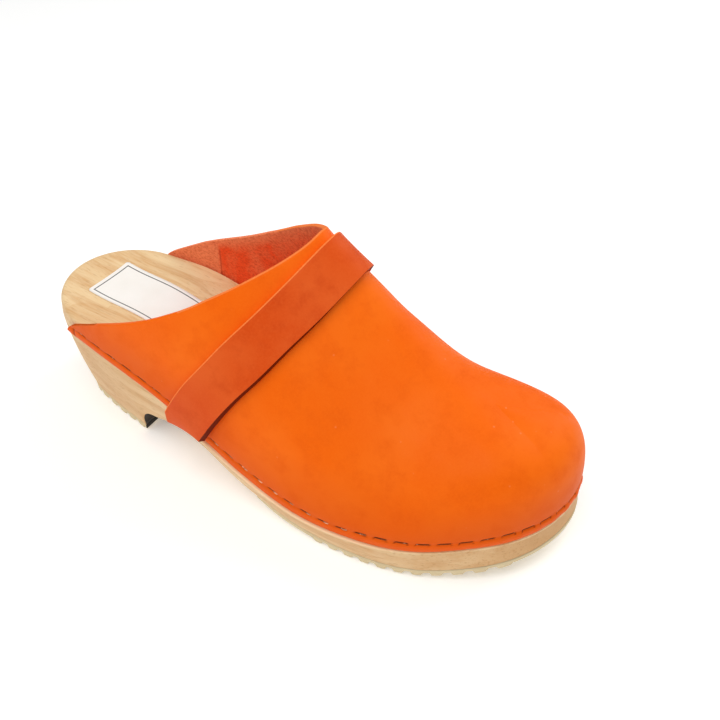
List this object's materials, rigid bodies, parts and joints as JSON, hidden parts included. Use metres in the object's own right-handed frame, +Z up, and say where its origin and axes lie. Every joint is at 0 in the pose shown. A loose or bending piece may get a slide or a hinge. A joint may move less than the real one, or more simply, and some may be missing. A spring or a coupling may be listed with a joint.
{
  "type": "leather clog",
  "caption": "Right-foot clog with a carved wooden heel sole, ribbed rubber outsoles, a stapled one-piece nubuck upper open at the back, and an instep strap.",
  "frame": {"origin": "on the floor, under the middle of the clog's box", "axes": "+X to the toe, +Y to the inner side of the right foot, +Z up"},
  "size_m": [0.259, 0.094, 0.1133],
  "materials": {
    "alder_wood": "sanded pale wood with lengthwise grain",
    "sole_rubber": "matt beige ribbed rubber",
    "upper_nubuck": "orange nubuck with a short nap",
    "strap_nubuck": "red-orange nubuck with pale cut edges",
    "label_film": "white matt label with a thin frame line",
    "staple_steel": "dull steel wire"
  },
  "bodies": {
    "root": {"wooden_sole": "alder_wood", "outsole_heel": "sole_rubber", "outsole_forefoot": "sole_rubber", "upper": "upper_nubuck", "instep_strap": "strap_nubuck", "heel_label": "label_film"}
  },
  "joints": []
}
